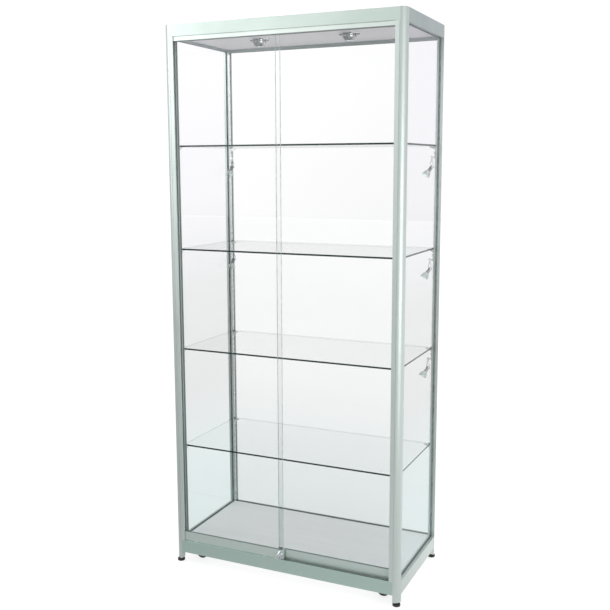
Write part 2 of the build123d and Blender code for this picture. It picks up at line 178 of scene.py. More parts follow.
# ------------------------------------------------------------------ material kinds
def anodised(name, base, rough, along, lip=1.0, under=1.0):
    """Satin extrusion: fine die lines along one axis, cloudiness, and optionally a painted
    highlight on upward faces and painted shade on downward faces.
    """
    mat = Material(name)
    lines = mat.noise(tuple(5 if axis == along else 1400 for axis in "xyz"), 4.0, 0.6)
    cloud = mat.noise(5, 3.0, 0.55)
    colour = mat.tones(lines, base, 0.95, 1.05, span=(0.25, 0.75))
    drift = shade((base[0] * 0.96, base[1], base[2] * 0.99), 0.93)
    colour = mat.mix_colour(mat.remap(cloud, (0.35, 0.65), (0.0, 0.35)), colour, drift)
    if lip != 1.0 or under != 1.0:
        up = mat.axes(mat.node("NewGeometry").outputs["True Normal"])[2]
        # painted highlight: upward lips are lightened; painted shade: downward grooves are
        # darkened
        for sign, factor in ((1, lip), (-1, under)):
            if factor != 1.0:
                facing = mat.remap(up, (sign * 0.5, sign * 0.9), (0.0, 1.0))
                colour = mat.mix_colour(facing, colour, shade(base, factor))
    roughness = mat.remap(cloud, (0.3, 0.7), (rough - 0.04, rough + 0.07))
    normal = mat.bump(lines, strength=0.06, distance=0.0004)
    mat.finish(mat.principled(colour, roughness, 0.75, normal, anisotropic=0.25))


def laminate(name, base):
    """Melamine faced board: soft streaks along x, micro texture, a low sheen."""
    mat = Material(name)
    streaks = mat.noise((1.6, 26, 26), 4.0, 0.6)
    grain = mat.noise(900, 2.0, 0.5)
    colour = mat.tones(streaks, base, 0.95, 1.03)
    roughness = mat.remap(streaks, (0.3, 0.7), (0.33, 0.46))
    normal = mat.bump(grain, strength=0.08, distance=0.0003)
    mat.finish(mat.principled(colour, roughness, normal=normal))


def plastic(name, base, rough, bump, grain, specular=0.5):
    mat = Material(name)
    fine = mat.noise(grain, 3.0, 0.55)
    patches = mat.noise(14, 2.0, 0.5)
    colour = mat.tones(patches, base, 0.85, 1.15)
    roughness = mat.remap(fine, (0.3, 0.7), (rough - 0.05, rough + 0.1))
    normal = mat.bump(fine, bump, distance=0.0003)
    mat.finish(mat.principled(colour, roughness, normal=normal, specular=specular))


def chrome(name, base, rough):
    """Bright plating with faint haze and hairline polish marks."""
    mat = Material(name)
    hairlines = mat.noise((260, 260, 40), 4.0, 0.6)
    haze = mat.noise(35, 3.0, 0.6)
    colour = mat.tones(haze, base, 0.9, 1.0)
    roughness = mat.remap(hairlines, (0.35, 0.7), (rough * 0.6, rough * 1.9))
    normal = mat.bump(hairlines, strength=0.03, distance=0.0003)
    mat.finish(mat.principled(colour, roughness, 1.0, normal))


def zinc(name, base, rough):
    """Plated steel with a cellular spangle."""
    mat = Material(name)
    cells = mat.node("TexVoronoi", {"Scale": 1.0, "Vector": mat.at_position(300)})
    spangle = cells.outputs["Distance"]
    wear = mat.noise(60, 3.0, 0.5)
    colour = mat.tones(spangle, base, 0.9, 1.1, span=(0.1, 0.9))
    roughness = mat.remap(wear, (0.3, 0.7), (rough - 0.06, rough + 0.1))
    normal = mat.bump(spangle, strength=0.04, distance=0.0003)
    mat.finish(mat.principled(colour, roughness, 0.9, normal))


def pane_glass(name, tint, edge, flat_axis, reflection, edge_specular=0.6, pale_edges=None):
    """Clear sheet: see-through faces with reflection and smudges, green ground edges.

    tint is one colour, or a list of ramp stops from the foot of the pane to its head.
    pale_edges gives the rear y and left x of a sheet whose edges there stay pale.
    """
    mat = Material(name)
    geometry = mat.node("NewGeometry").outputs
    across = mat.axes(geometry["True Normal"])["xyz".index(flat_axis)]
    is_face = mat.math("GREATER_THAN", mat.math("ABSOLUTE", across), 0.7)
    # a tint that changes with height is painted shade up the pane
    if isinstance(tint, list):
        height = mat.axes(geometry["Position"])[2]
        tint = mat.ramp(mat.remap(height, (0.1, 1.95), (0.0, 1.0)), tint)
    smudge = mat.noise(9, 4.0, 0.6)
    gloss = mat.node("BsdfGlossy", {
        "Color": (0.985, 0.99, 0.99),
        "Roughness": mat.remap(smudge, (0.35, 0.75), (0.004, 0.03))}).outputs[0]
    # the same reflectance from either side, so the far face doesn't turn into a mirror
    index = mat.remap(geometry["Backfacing"], (0.0, 1.0), (1.45, 1.0 / 1.45))
    fresnel = mat.node("Fresnel", {"IOR": index}).outputs[0]
    strength = mat.math("MULTIPLY", fresnel, reflection)
    body = mat.mix_shader(strength, mat.transparent(tint), gloss)

    polish = mat.noise(60, 3.0, 0.6)
    rim = mat.principled(mat.tones(polish, edge, 0.6, 1.6), 0.18, specular=edge_specular)
    if pale_edges is not None:
        rear, left = pale_edges
        x, y, _ = mat.axes(geometry["Position"])
        # fades in between 0.9 and 0.5 mm from the edge
        is_pale = mat.math("MAXIMUM",
                           mat.remap(y, (rear - 0.0009, rear - 0.0005), (0.0, 1.0)),
                           mat.remap(x, (left + 0.0009, left + 0.0005), (0.0, 1.0)))
        clear = mat.transparent(
            mat.ramp(polish, [(0.3, (0.89, 0.925, 0.91)), (0.7, (0.95, 0.97, 0.96))]))
        rim = mat.mix_shader(mat.math("MULTIPLY", is_pale, 0.92), rim, clear)
    mat.finish(mat.mix_shader(is_face, rim, body))


def lamp_glass(name):
    """Pressed glass with a thin cold-mirror coating: part see-through, part mirror."""
    mat = Material(name)
    ripple = mat.noise(380, 2.0, 0.5)
    gloss = mat.node("BsdfGlossy", {
        "Color": (0.86, 0.9, 0.88), "Roughness": 0.06,
        "Normal": mat.bump(ripple, strength=0.3, distance=0.0004)}).outputs[0]
    facing = mat.node("LayerWeight", {"Blend": 0.35}).outputs["Facing"]
    mat.finish(mat.mix_shader(mat.remap(facing, (0.1, 0.9), (0.16, 0.92)),
                              mat.transparent((0.93, 0.965, 0.955)), gloss))


def warm_bulb(name, strength):
    mat = Material(name)
    mottle = mat.noise(700, 2.0, 0.5)
    colour = mat.ramp(mottle, [(0.3, (1.0, 0.95, 0.86)), (0.7, (1.0, 0.99, 0.95))])
    gloss = mat.node("BsdfGlossy", {"Roughness": 0.1}).outputs[0]
    mat.finish(mat.mix_shader(0.3, mat.emission(colour, strength), gloss))


def foot_material(name, stem_start=0.0119, thread_pitch=0.00125):
    """Black moulded pad with a zinc threaded stem above it."""
    mat = Material(name)
    height = mat.axes(mat.node("TexCoord").outputs["Object"])[2]
    grain = mat.noise(500, 3.0, 0.5)
    pad = mat.principled(mat.ramp(grain, [(0.3, 0.009), (0.7, 0.017)]),
                         mat.remap(grain, (0.3, 0.7), (0.28, 0.42)),
                         normal=mat.bump(grain, strength=0.12, distance=0.0003))
    thread = mat.math("SINE", mat.math("MULTIPLY", height, 2 * math.pi / thread_pitch))
    # the thread's roots are coloured darker than its crests: painted shade
    stem = mat.principled(
        mat.ramp(mat.remap(thread, (-1, 1), (0, 1)), [(0.1, 0.22), (0.9, 0.52)]),
        0.3, 0.9, mat.bump(thread, strength=0.8, distance=0.0004))
    mat.finish(mat.mix_shader(mat.math("GREATER_THAN", height, stem_start), pad, stem))


# ------------------------------------------------------------------ materials
# one anodised finish in lit and shaded copies: each piece's base colour holds painted light or
# shade, lip paints a highlight on upward faces and under paints shade on downward faces
# name, colour, roughness, axis of the die lines, options
for name, colour, roughness, along, options in (
        ("post_anodised", (0.56, 0.62, 0.6), 0.38, "z", {}),
        ("rail_front_anodised", (0.43, 0.55, 0.505), 0.36, "x", {"lip": 1.6}),
        ("rail_rear_anodised", (0.40, 0.45, 0.44), 0.36, "x", {}),
        ("rail_side_anodised", (0.58, 0.64, 0.62), 0.36, "y", {}),
        ("head_front_anodised", (0.49, 0.565, 0.53), 0.35, "x", {}),
        ("head_side_anodised", (0.40, 0.45, 0.46), 0.34, "y", {}),
        ("track_anodised", (0.60, 0.66, 0.63), 0.36, "x", {"under": 0.22}),
        ("track_low_anodised", (0.34, 0.39, 0.37), 0.4, "x", {}),
        ("shoe_anodised", (0.55, 0.63, 0.605), 0.36, "x", {})):
    anodised(name, colour, roughness, along, **options)

# lit and shaded copies of one laminate: the ceiling panel's darker base is painted shade, the
# deck's lighter base painted light
laminate("deck_laminate", (0.82, 0.80, 0.81))
laminate("ceiling_laminate", (0.565, 0.56, 0.575))
laminate("top_laminate", (0.70, 0.70, 0.71))

# tint of the upright panes from foot (0) to head (1): painted shade, darker towards the foot and,
# on the side panes, around mid-height
CLEAR_SHADED_TINT = [
    (0.0, (0.915, 0.93, 0.93)), (0.13, (0.922, 0.935, 0.935)), (0.3, (0.959, 0.961, 0.961)),
    (0.5, (0.970, 0.971, 0.971)), (0.7, (0.983, 0.983, 0.984)), (0.95, (0.991, 0.991, 0.992))]
SIDE_SHADED_TINT = [
    (0.0, (0.922, 0.957, 0.957)), (0.13, (0.923, 0.954, 0.954)), (0.3, (0.905, 0.909, 0.909)),
    (0.5, (0.912, 0.913, 0.914)), (0.7, (0.968, 0.965, 0.980)), (0.95, (0.974, 0.970, 0.988))]
pane_glass("door_glass", CLEAR_SHADED_TINT, edge=(0.30, 0.37, 0.35), flat_axis="y", reflection=0.4)
pane_glass("side_glass", SIDE_SHADED_TINT, edge=(0.40, 0.48, 0.46), flat_axis="x", reflection=0.35)
pane_glass("back_glass", CLEAR_SHADED_TINT, edge=(0.40, 0.48, 0.46), flat_axis="y", reflection=0.4)
shelf_low, shelf_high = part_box("shelf_1")
pane_glass("shelf_glass", (0.999, 1.0, 1.0), edge=(0.010, 0.026, 0.022), flat_axis="z",
           reflection=0.34, edge_specular=0.3, pale_edges=(shelf_high[1], shelf_low[0]))

zinc("strip_steel", (0.78, 0.8, 0.8), rough=0.26)
zinc("zinc_steel", (0.5, 0.51, 0.51), rough=0.28)
chrome("chrome_trim", (0.82, 0.84, 0.86), rough=0.07)
# a darker copy of the chrome: painted dark reflections on the downlight eyeballs
chrome("eyeball_chrome", (0.46, 0.49, 0.48), rough=0.09)
chrome("chrome_dark", (0.40, 0.41, 0.42), rough=0.12)
plastic("roller_nylon", (0.8, 0.8, 0.76), rough=0.4, bump=0.1, grain=500)
plastic("castor_rubber", (0.03, 0.03, 0.032), rough=0.55, bump=0.25, grain=600, specular=0.4)
foot_material("foot_black")
plastic("castor_hub", (0.05, 0.05, 0.052), rough=0.35, bump=0.15, grain=500)
plastic("glazing_gasket", (0.21, 0.225, 0.225), rough=0.5, bump=0.2, grain=900, specular=0.4)
plastic("cap_plastic", (0.62, 0.66, 0.65), rough=0.4, bump=0.1, grain=600)
lamp_glass("lamp_reflector")
warm_bulb("lamp_capsule", strength=1.1)


# ------------------------------------------------------------------ finish of the CAD pieces
def add_bevel(obj, width):
    bevel = obj.modifiers.new("edge_break", "BEVEL")
    bevel.width = width * MM
    bevel.segments = 2
    bevel.limit_method = "ANGLE"
    bevel.angle_limit = math.radians(35)
    return bevel


def add_crease(obj, angle):
    obj.modifiers.new("crease", "EDGE_SPLIT").split_angle = math.radians(angle)


def finish_node(node, material, bevel):
    """Paint a CAD piece; drop its custom normals, shade it smooth, and break its edges and crease
    its curves with modifiers.
    """
    obj = NODES[node]
    mesh = obj.data
    mesh.materials.clear()
    mesh.materials.append(MATERIALS[material])
    custom_normal = mesh.attributes.get("custom_normal")
    if custom_normal is not None:
        mesh.attributes.remove(custom_normal)
    mesh.polygons.foreach_set("use_smooth", [True] * len(mesh.polygons))
    obj.modifiers.new("weld", "WELD").merge_threshold = 2e-6
    if bevel:
        add_bevel(obj, bevel).use_clamp_overlap = True
    add_crease(obj, 32)
    weighted = obj.modifiers.new("flat_faces", "WEIGHTED_NORMAL")
    weighted.mode = "FACE_AREA"
    weighted.weight = 60
    weighted.keep_sharp = True


# height of each spotlight's bracket; the rows share one pitch
LAMP_TOP, LAMP_PITCH = 1545.0, 374.0
# name, side (sign of x), row down from the top
LAMPS = (("lamp_r_top", 1, 0), ("lamp_r_mid", 1, 1), ("lamp_r_low", 1, 2),
         ("lamp_l_top", -1, 0), ("lamp_l_mid", -1, 1))

# material, bevel width in mm, nodes
for material, bevel, nodes in (
        ("post_anodised", 0.3, ("post_front_left", "post_front_right",
                                "post_rear_left", "post_rear_right")),
        ("rail_front_anodised", 0.4, ("base_rail_front",)),
        ("rail_rear_anodised", 0.4, ("base_rail_rear", "header_rear")),
        ("rail_side_anodised", 0.4, ("base_rails_side",)),
        ("head_front_anodised", 0.4, ("header_front",)),
        ("head_side_anodised", 0.4, ("headers_side",)),
        ("track_anodised", 0.3, ("door_track_top",)),
        ("track_low_anodised", 0.2, ("door_track_bottom",)),
        ("shoe_anodised", 0.4, ("door_left_shoe", "door_right_shoe")),
        ("deck_laminate", 0.6, ("deck",)),
        ("ceiling_laminate", 0.4, ("ceiling_panel",)),
        ("top_laminate", 0.6, ("top_panel",)),
        ("door_glass", 0, ("door_left_glass", "door_right_glass")),
        ("side_glass", 0, ("side_glass",)),
        ("back_glass", 0, ("back_glass",)),
        ("strip_steel", 0, ("shelf_standards",)),
        ("strip_steel", 0.3, ("shelf_clips",)),
        ("chrome_trim", 0.3, ("lamp_brackets",)),
        ("chrome_trim", 0.2, ("downlight_bezels",)),
        ("chrome_trim", 0.4, ("lock_barrel",)),
        ("chrome_trim", 0.5, ("lock_plunger",)),
        ("zinc_steel", 0.3, ("castor_plates",)),
        ("shelf_glass", 0, ("shelf_1", "shelf_2", "shelf_3", "shelf_4")),
        ("roller_nylon", 0.3, ("roller_left_a", "roller_left_b",
                               "roller_right_a", "roller_right_b")),
        ("eyeball_chrome", 0.2, ("eyeball_left", "eyeball_right")),
        ("zinc_steel", 0.3, ["castor_fork_" + corner for corner in CORNERS]),
        ("castor_rubber", 0.3, ["castor_wheel_" + corner for corner in CORNERS]),
        ("foot_black", 0.3, ["foot_" + corner for corner in CORNERS]),
        ("chrome_trim", 0.2, [lamp[0] + part for lamp in LAMPS for part in ("_arm", "_head")])):
    for node in nodes:
        finish_node(node, material, bevel)


# ------------------------------------------------------------------ mesh helpers
def add_piece(name, bm, material, body, slot, split=32, bevel=0.0, replaces=None):
    """Turn bm into an object that rides on a CAD body."""
    bmesh.ops.recalc_face_normals(bm, faces=bm.faces)
    mesh = bpy.data.meshes.new(name)
    bm.to_mesh(mesh)
    bm.free()
    mesh.polygons.foreach_set("use_smooth", [True] * len(mesh.polygons))
    obj = bpy.data.objects.new(name, mesh)
    scene.collection.objects.link(obj)
    mesh.materials.append(MATERIALS[material])
    if bevel:
        add_bevel(obj, bevel)
    add_crease(obj, split)
    if replaces:
        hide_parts(replaces)
    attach(obj, body)
    return obj


def place_at(x, y, z):
    return Matrix.Translation(Vector((x, y, z)) * MM)


def add_band(bm, first, second):
    """Quads between two closed rings of vertices."""
    for i in range(len(first)):
        j = (i + 1) % len(first)
        bm.faces.new((first[i], first[j], second[j], second[i]))


def lathe(bm, outline, place, segments, lobes=None):
    """Revolve a closed (r, z) outline about z; points at r = 0 become poles.

    lobes(angle, r, z) scales the radius round the ring.
    """
    rings = []
    for r, z in outline:
        if r <= 1e-6:
            rings.append([bm.verts.new(place @ (Vector((0, 0, z)) * MM))])
            continue
        ring = []
        for i in range(segments):
            angle = 2 * math.pi * i / segments
            radius = r if lobes is None else r * lobes(angle, r, z)
            point = Vector((radius * math.cos(angle), radius * math.sin(angle), z))
            ring.append(bm.verts.new(place @ (point * MM)))
        rings.append(ring)
    for first, second in zip(rings, rings[1:] + rings[:1]):
        if len(first) == 1 and len(second) == 1:
            continue
        for i in range(segments):
            j = (i + 1) % segments
            if len(first) == 1:
                bm.faces.new((first[0], second[i], second[j]))
            elif len(second) == 1:
                bm.faces.new((first[i], second[0], first[j]))
            else:
                bm.faces.new((first[i], second[i], second[j], first[j]))


def add_turned(name, outline, place, segments, material, body, slot="chrome_trim", lobes=None,
               **options):
    """A piece that is one lathe turning."""
    bm = bmesh.new()
    lathe(bm, outline, place, segments, lobes)
    add_piece(name, bm, material, body, slot, **options)


def prism(bm, outline, axis, start, end, place=Matrix.Identity(4)):
    """Extrude a closed outline, given in the other two axes in xyz order, along an axis."""
    def vertex(point, along):
        coords = list(point)
        coords.insert("xyz".index(axis), along)
        return bm.verts.new(place @ (Vector(coords) * MM))
    low = [vertex(point, start) for point in outline]
    high = [vertex(point, end) for point in outline]
    bm.faces.new(low)
    bm.faces.new(list(reversed(high)))
    add_band(bm, low, high)


def tube(bm, path, radius, segments, place):
    """Round bar along a polyline, its rings turning as little as possible, ends capped."""
    rings, up = [], None
    for i, point in enumerate(path):
        ahead = (path[min(i + 1, len(path) - 1)] - path[max(i - 1, 0)]).normalized()
        if up is None:
            up = ahead.orthogonal().normalized()
        up = (up - ahead * up.dot(ahead)).normalized()
        side = ahead.cross(up)
        ring = []
        for k in range(segments):
            angle = 2 * math.pi * k / segments
            spoke = up * math.cos(angle) + side * math.sin(angle)
            ring.append(bm.verts.new(place @ ((point + spoke * radius) * MM)))
        rings.append(ring)
    for first, second in zip(rings, rings[1:]):
        add_band(bm, first, second)
    bm.faces.new(list(reversed(rings[0])))
    bm.faces.new(rings[-1])


def smooth_path(controls, steps):
    """Catmull-Rom curve through control points."""
    c = [Vector(point) for point in controls]
    c = [c[0] * 2 - c[1]] + c + [c[-1] * 2 - c[-2]]
    path = []
    for p0, p1, p2, p3 in zip(c, c[1:], c[2:], c[3:]):
        for k in range(steps):
            t = k / steps
            path.append(0.5 * ((2 * p1) + (p2 - p0) * t + (2 * p0 - 5 * p1 + 4 * p2 - p3) * t * t
                               + (3 * p1 - p0 - 3 * p2 + p3) * t ** 3))
    path.append(c[-2])
    return path


# ------------------------------------------------------------------ glazing gaskets
PANE_THICKNESS = 5.0
SIDE_FACE, BACK_FACE = 439.5, 214.5       # outer faces of the side and back panes
SIDE_OPENING = (201.0, 88.0, 1955.0)      # half span, foot, head
BACK_OPENING = (426.0, 88.0, 1952.0)
GASKET_WIDTH = 1.6
OUTER_GASKET, INNER_GASKET = 1.4, 1.2     # how far the beads stand out of the pane
# inboard and out of the pane, as parts of the bead's width and thickness
GASKET_SECTION = ((0, 0), (1, 0), (0.9, 0.35), (0.55, 0.8), (0.2, 1), (0, 1))


def gasket_ring(bm, axis, face, sign, opening, thickness):
    """Wedge bead round an opening, on a pane face and standing out along sign on axis."""
    half, foot, head = opening
    rings = []
    for inboard, out in GASKET_SECTION:
        i = inboard * GASKET_WIDTH
        level = face + sign * (out * thickness)
        corners = [(-half + i, foot + i), (half - i, foot + i),
                   (half - i, head - i), (-half + i, head - i)]
        rings.append([bm.verts.new(
            Vector((level, across, z) if axis == "x" else (across, level, z)) * MM)
            for across, z in corners])
    for first, second in zip(rings, rings[1:] + rings[:1]):
        add_band(bm, first, second)


def gasket_pair(bm, axis, sign, outer_face, opening):
    inner_face = outer_face - PANE_THICKNESS
    gasket_ring(bm, axis, sign * outer_face, sign, opening, OUTER_GASKET)
    gasket_ring(bm, axis, sign * inner_face, -sign, opening, INNER_GASKET)


bm = bmesh.new()
for side in (-1, 1):
    gasket_pair(bm, "x", side, SIDE_FACE, SIDE_OPENING)
add_piece("side_gaskets", bm, "glazing_gasket", "case", "castor_tread")
bm = bmesh.new()
gasket_pair(bm, "y", 1, BACK_FACE, BACK_OPENING)
add_piece("back_gaskets", bm, "glazing_gasket", "case", "castor_tread")

# ------------------------------------------------------------------ brush seals in the top track
DOOR_LINES = (-215.0, -201.0)             # y of each door
BRUSH_HALF_LENGTH, BRUSH_STEPS = 424.0, 140
BRUSH_OFFSET = 2.95                       # from the door's line
BRUSH_TOP, BRUSH_FOOT, BRUSH_TOOTH = 1950.0, 1945.2, 0.5

bm = bmesh.new()
for door_y in DOOR_LINES:
    for side in (-1, 1):
        y = door_y + side * BRUSH_OFFSET
        xs = [-BRUSH_HALF_LENGTH + 2 * BRUSH_HALF_LENGTH * i / BRUSH_STEPS
              for i in range(BRUSH_STEPS + 1)]
        # the strip leans towards the door and ends in a saw-toothed edge
        top = [bm.verts.new(Vector((x, y + side * 0.2, BRUSH_TOP)) * MM) for x in xs]
        foot = [bm.verts.new(Vector((x, y - side * 0.15,
                                     BRUSH_FOOT + (BRUSH_TOOTH if i % 2 else 0.0))) * MM)
                for i, x in enumerate(xs)]
        for i in range(BRUSH_STEPS):
            bm.faces.new((top[i], top[i + 1], foot[i + 1], foot[i]))
brush = add_piece("track_brush", bm, "glazing_gasket", "case", "castor_tread")
brush.modifiers.new("pile", "SOLIDIFY").thickness = 0.0003

# ------------------------------------------------------------------ post end caps
CAP_INSET = 0.5
CAP_BOTTOM, CAP_TOP = 1999.9, 2001.2
CAP_STEPS = 14


def cap_outline(side_x, side_y):
    """Quarter disc inset from the post's quarter-round section."""
    centre_x = side_x * (HALF_WIDTH - CORNER_RADIUS)
    centre_y = side_y * (HALF_DEPTH - CORNER_RADIUS)
    inner_x, inner_y = centre_x + side_x * CAP_INSET, centre_y + side_y * CAP_INSET
    radius = CORNER_RADIUS - CAP_INSET
    arc = []
    for i in range(CAP_STEPS + 1):
        angle = math.pi / 2 * i / CAP_STEPS
        arc.append((centre_x + side_x * radius * math.cos(angle),
                    centre_y + side_y * radius * math.sin(angle)))
    # the ends of the arc are pulled onto the inset straight edges
    arc[0] = (arc[0][0], inner_y)
    arc[-1] = (inner_x, arc[-1][1])
    return [(inner_x, inner_y)] + arc


bm = bmesh.new()
for side_x, side_y in CORNERS.values():
    prism(bm, cap_outline(side_x, side_y), "z", CAP_BOTTOM, CAP_TOP)
add_piece("post_caps", bm, "cap_plastic", "case", "anodised_frame", bevel=0.4)

# ------------------------------------------------------------------ top screws
SCREW_RADIUS, SCREW_HEIGHT, SCREW_SEGMENTS = 3.2, 0.9, 24
# parts of the radius and height, from the rim to the crown
SCREW_PROFILE = ((1, 0.0), (1, 0.45), (0.86, 0.8), (0.6, 1), (0.42, 1))
RECESS_RADIUS = 0.3                        # part of the radius


def screw(bm, x, y):
    """Pan head with a cross recess, upright on the top face."""
    up = Vector((0, 0, 1))
    right = up.orthogonal().normalized()
    ahead = up.cross(right)
    turn = Matrix((right, ahead, up)).transposed().to_4x4()
    place = place_at(x, y, TOP_FACE) @ turn

    def vertex(radius, angle, height):
        point = Vector((radius * math.cos(angle), radius * math.sin(angle), height))
        return bm.verts.new(place @ (point * MM))

    angles = [2 * math.pi * i / SCREW_SEGMENTS for i in range(SCREW_SEGMENTS)]
    rings = [[vertex(SCREW_RADIUS * part, angle, SCREW_HEIGHT * rise) for angle in angles]
             for part, rise in SCREW_PROFILE]
    # the innermost ring is pulled down and out along the four arms
    recess = []
    for angle in angles:
        in_arm = abs(math.cos(2 * angle)) ** 6 > 0.3
        radius = SCREW_RADIUS * RECESS_RADIUS * (1.25 if in_arm else 0.8)
        recess.append(vertex(radius, angle, SCREW_HEIGHT * (0.25 if in_arm else 0.85)))
    rings.append(recess)
    for first, second in zip(rings, rings[1:]):
        add_band(bm, first, second)
    bm.faces.new(list(reversed(rings[0])))
    centre = vertex(0, 0, SCREW_HEIGHT * 0.2)
    for i in range(SCREW_SEGMENTS):
        bm.faces.new((recess[i], recess[(i + 1) % SCREW_SEGMENTS], centre))


bm = bmesh.new()
for x in (-415.0, 415.0):
    for y in (-150.0, 0.0, 150.0):
        screw(bm, x, y)
for x in (-200.0, 0.0, 200.0):
    for y in (-190.0, 192.0):
        screw(bm, x, y)
add_piece("top_screws", bm, "zinc_steel", "case", "zinc_steel")

# ------------------------------------------------------------------ spotlights
LAMP_X, LAMP_Y = 415.0, 194.0
LAMP_DROP = 42.0                           # from the bracket to the head's pivot
LAMP_LEAN = math.radians(38.0)
LAMP_TURN = {1: math.radians(-45.0), -1: math.radians(8.0)}   # by side

# closed (r, z) outlines, z from the pivot
STUD = [(0, 39.2), (1.6, 38.8), (2.0, 38.2), (2.0, 36.2), (2.0, 33.2), (3.6, 32.9), (4.0, 32.2),
        (4.0, 30.4), (3.4, 29.6), (2.2, 28.6), (1.6, 26.0), (0, 25.6)]
COLLAR = [(0, 38.4), (3.4, 38.4), (3.9, 37.9), (3.9, 36.6), (3.5, 36.1), (0, 36.1)]
EYE = [(0, 9.9), (1.6, 9.8), (2.0, 9.2), (3.9, 9.0), (4.2, 8.6), (4.2, 7.1), (3.9, 6.7), (0, 6.7)]
HOLDER = [(0, 4.0), (4.4, 4.0), (5.8, 2.8), (6.2, 1.0), (6.2, -5.0), (5.6, -5.6), (5.6, -6.4),
          (6.2, -7.0), (6.2, -9.0), (5.6, -9.6), (5.6, -10.4), (6.2, -11.0), (6.2, -13.6),
          (7.2, -14.2), (7.2, -16.4), (6.4, -17.0), (0, -17.0)]
REFLECTOR = [(5.6, -16.8), (6.4, -18.6), (8.8, -21.6), (11.4, -26.0), (13.2, -31.0),
             (14.1, -36.0), (14.4, -38.6), (14.4, -39.8), (13.4, -39.9), (13.0, -38.4),
             (12.6, -36.0), (11.7, -31.2), (10.0, -26.6), (7.4, -22.6), (5.0, -19.6),
             (4.4, -17.2)]
CAPSULE = [(0, -16.8), (2.4, -16.8), (2.7, -18.0), (2.9, -20.0), (2.9, -27.0), (2.2, -29.6),
           (1.0, -30.8), (0, -31.1)]
# (x, z) path of the prong on the +x side
PRONG = ((0.6, 31.0), (1.8, 27.5), (5.2, 21.0), (8.3, 13.0), (9.0, 6.0), (8.0, 0.0))
PRONG_RADIUS = 1.45


def pressed_ribs(angle, r, z):
    """24 ribs, leaving the reflector's rim and neck plain."""
    return 1.0 + (0.022 * math.cos(24 * angle) if z > -38.5 and r > 7.0 else 0.0)


def spotlight_arm(name, place):
    """Swivel stud and collar over two bowed prongs that end in riveted eyes."""
    bm = bmesh.new()
    lathe(bm, STUD, place, 28)
    lathe(bm, COLLAR, place, 24)
    for side in (-1, 1):
        path = smooth_path([(side * x, 0, z) for x, z in PRONG], 7)
        tube(bm, path, PRONG_RADIUS, 12, place)
        lathe(bm, EYE, place @ Matrix.Rotation(side * math.pi / 2, 4, "Y"), 28)
    add_piece(name + "_arm_bent", bm, "chrome_trim", name + "_arm", "chrome_trim",
              replaces=name + "_arm")


def spotlight_head(name, place):
    """Ribbed lampholder, pressed-glass reflector and capsule."""
    head = name + "_head"
    add_turned(name + "_holder", HOLDER, place, 40, "chrome_dark", head, replaces=head)
    add_turned(name + "_reflector", REFLECTOR, place, 96, "lamp_reflector", head,
               lobes=pressed_ribs, split=60)
    add_turned(name + "_capsule", CAPSULE, place, 28, "lamp_capsule", head)


for name, side, row in LAMPS:
    pivot_z = LAMP_TOP - row * LAMP_PITCH - LAMP_DROP
    place = (place_at(side * LAMP_X, LAMP_Y, pivot_z)
             @ Matrix.Rotation(LAMP_TURN[side], 4, "Z"))
    spotlight_arm(name, place)
    spotlight_head(name, place @ Matrix.Rotation(-LAMP_LEAN, 4, "X"))

# ------------------------------------------------------------------ downlights
DOWNLIGHT_X, DOWNLIGHT_Y, DOWNLIGHT_Z = 175.0, -15.0, 1955.0
# closed (r, z) outlines, z from DOWNLIGHT_Z
DOWNLIGHT_REFLECTOR = [(13.9, -18.8), (13.9, -17.0), (12.8, -12.0), (9.6, -7.6), (5.0, -5.0),
                       (3.6, -4.4), (3.6, -5.4), (5.0, -6.2), (9.0, -8.8), (11.8, -12.6),
                       (12.7, -17.0), (12.7, -18.8)]
DOWNLIGHT_CAPSULE = [(0, -4.6), (3.3, -4.6), (3.4, -6.0), (3.2, -12.0), (2.2, -14.4), (0, -15.2)]
# (y, z) section of a spring clip, and its reach from the downlight's axis
CLIP_SECTION = [(-3.0, 1958.2), (3.0, 1958.2), (3.0, 1956.6), (1.8, 1955.4), (-1.8, 1955.4),
                (-3.0, 1956.6)]
CLIP_START, CLIP_END = 31.2, 37.6


def flutes(angle, r, z):
    """18 shallow flutes above the reflector's plain rim."""
    return 1.0 - (0.02 * (0.5 + 0.5 * math.cos(18 * angle)) if z > -16.5 else 0.0)


for name, side in (("left", -1), ("right", 1)):
    place = place_at(side * DOWNLIGHT_X, DOWNLIGHT_Y, DOWNLIGHT_Z)
    eyeball = "eyeball_" + name
    add_turned("downlight_reflector_" + name, DOWNLIGHT_REFLECTOR, place, 72, "chrome_trim",
               eyeball, lobes=flutes, split=60)
    add_turned("downlight_capsule_" + name, DOWNLIGHT_CAPSULE, place, 32, "lamp_capsule", eyeball)
    # spring clips that hold the bezel against the ceiling panel
    bm = bmesh.new()
    for end in (-1, 1):
        prism(bm, CLIP_SECTION, "x", end * CLIP_START, end * CLIP_END,
              place_at(side * DOWNLIGHT_X, DOWNLIGHT_Y, 0.0))
    add_piece("downlight_clips_" + name, bm, "chrome_dark", "case", "chrome_trim", bevel=0.3)

# ------------------------------------------------------------------ castor wheels
CASTOR_X, CASTOR_Y = 372.0, 161.0
WHEEL_RADIUS = 24.0
# (r, z) outlines of one half, z along the axle; the other half mirrors it
HALF_TREAD = [(16.8, -7.4), (18.4, -8.2), (20.8, -8.5), (22.6, -7.8), (23.6, -6.2),
              (WHEEL_RADIUS, -3.6)]
HALF_HUB = [(3.05, -8.4), (5.6, -8.4), (6.2, -7.8), (6.4, -5.2), (7.6, -4.2), (14.4, -4.2),
            (15.4, -5.4), (15.8, -7.0), (16.8, -7.3)]
RIB = [(6.2, -1.0), (15.6, -0.8), (15.6, 0.8), (6.2, 1.0)]
NUT_RADIUS, NUT_START, NUT_END = 4.4, 12.4, 14.6


def mirrored(half):
    return half + [(r, -z) for r, z in reversed(half)]


